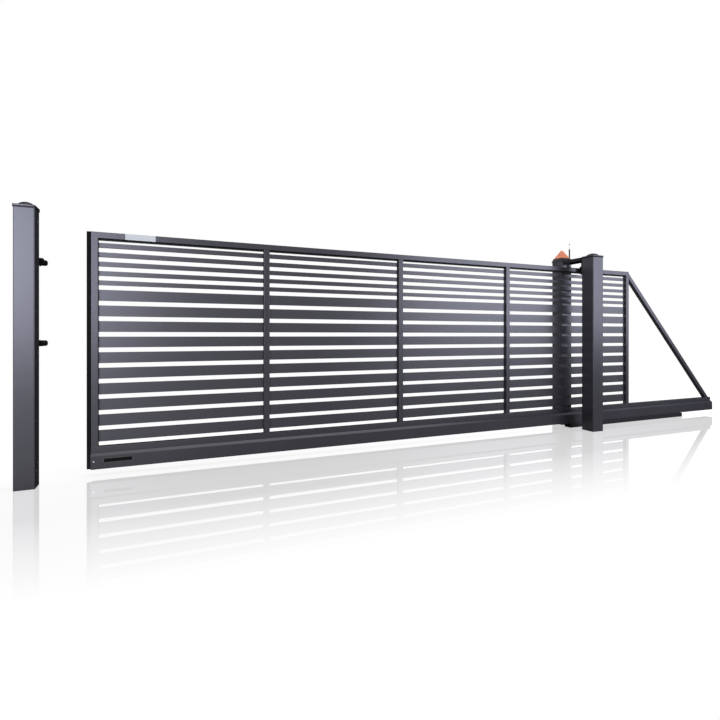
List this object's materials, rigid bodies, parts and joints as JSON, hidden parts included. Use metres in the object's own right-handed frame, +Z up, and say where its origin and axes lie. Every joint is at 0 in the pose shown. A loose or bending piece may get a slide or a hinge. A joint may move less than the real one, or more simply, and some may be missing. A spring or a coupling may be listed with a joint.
{
  "type": "cantilever sliding driveway gate",
  "caption": "Slatted driveway gate leaf that slides on a slotted carrying track over roller carriages, with a portal of guide posts, a lamp and a receiving post",
  "frame": {"origin": "on the ground between the two guide posts, in the middle plane of the leaf, on the underside of the base beam", "axes": "X along the leaf towards its tail, which is the way it opens; Y from the street side to the yard side; Z up"},
  "size_m": [6.569, 0.5015, 1.815],
  "materials": {
    "anthracite_coat": "satin powder coat",
    "slat_coat": "satin powder coat",
    "black_coat": "satin black coat",
    "black_rubber": "matt",
    "black_plastic": "matt moulded",
    "amber_lens": "clear amber",
    "zinc_steel": "zinc plated"
  },
  "bodies": {
    "fixed_frame": {"antenna": "black_plastic", "back_guide_post": "anthracite_coat", "back_roller_stud": "black_coat", "base_beam": "anthracite_coat", "crossbar": "black_coat", "front_carriage": "zinc_steel", "front_guide_post": "anthracite_coat", "front_guide_post_cap": "anthracite_coat", "front_roller_stud": "black_coat", "lamp_base": "black_plastic", "lamp_lens": "amber_lens", "lower_catch": "black_rubber", "rear_carriage": "zinc_steel", "receiving_post": "anthracite_coat", "receiving_post_cap": "anthracite_coat", "upper_catch": "black_rubber"},
    "leaf": {"bottom_rail": "anthracite_coat", "brace": "anthracite_coat", "front_stile": "anthracite_coat", "mullion_1": "anthracite_coat", "mullion_2": "anthracite_coat", "mullion_3": "anthracite_coat", "mullion_4": "anthracite_coat", "narrow_slats_bay_1": "slat_coat", "narrow_slats_bay_2": "slat_coat", "narrow_slats_bay_3": "slat_coat", "narrow_slats_bay_4": "slat_coat", "narrow_slats_bay_5": "slat_coat", "rail_plug": "black_plastic", "rail_strips": "black_plastic", "rear_stile": "anthracite_coat", "safety_edge": "black_rubber", "top_rail": "anthracite_coat", "track": "anthracite_coat", "track_front_cap": "anthracite_coat", "track_rear_cap": "anthracite_coat", "wide_slats_bay_1": "slat_coat", "wide_slats_bay_2": "slat_coat", "wide_slats_bay_3": "slat_coat", "wide_slats_bay_4": "slat_coat", "wide_slats_bay_5": "slat_coat"},
    "front_carriage_rollers_1": {"front_carriage_rollers_1": "black_plastic"},
    "front_carriage_rollers_2": {"front_carriage_rollers_2": "black_plastic"},
    "rear_carriage_rollers_1": {"rear_carriage_rollers_1": "black_plastic"},
    "rear_carriage_rollers_2": {"rear_carriage_rollers_2": "black_plastic"},
    "front_guide_roller": {"front_guide_roller": "black_plastic"},
    "back_guide_roller": {"back_guide_roller": "black_plastic"}
  },
  "joints": [
    {"name": "gate_slide", "type": "slide", "parent": "fixed_frame", "child": "leaf", "axis": [1, 0, 0], "range_m": [-0.25, 4.04]},
    {"name": "front_carriage_rollers_1_spin", "type": "hinge", "parent": "fixed_frame", "child": "front_carriage_rollers_1", "pos_m": [0.015, 0, 0.0997], "axis": [0, 1, 0], "continuous": true},
    {"name": "front_carriage_rollers_2_spin", "type": "hinge", "parent": "fixed_frame", "child": "front_carriage_rollers_2", "pos_m": [0.165, 0, 0.0997], "axis": [0, 1, 0], "continuous": true},
    {"name": "rear_carriage_rollers_1_spin", "type": "hinge", "parent": "fixed_frame", "child": "rear_carriage_rollers_1", "pos_m": [1.255, 0, 0.0997], "axis": [0, 1, 0], "continuous": true},
    {"name": "rear_carriage_rollers_2_spin", "type": "hinge", "parent": "fixed_frame", "child": "rear_carriage_rollers_2", "pos_m": [1.405, 0, 0.0997], "axis": [0, 1, 0], "continuous": true},
    {"name": "front_guide_roller_spin", "type": "hinge", "parent": "fixed_frame", "child": "front_guide_roller", "pos_m": [0.026, -0.0455, 1.522], "axis": [0, 0, 1], "continuous": true},
    {"name": "back_guide_roller_spin", "type": "hinge", "parent": "fixed_frame", "child": "back_guide_roller", "pos_m": [-0.062, 0.0455, 1.522], "axis": [0, 0, 1], "continuous": true}
  ]
}
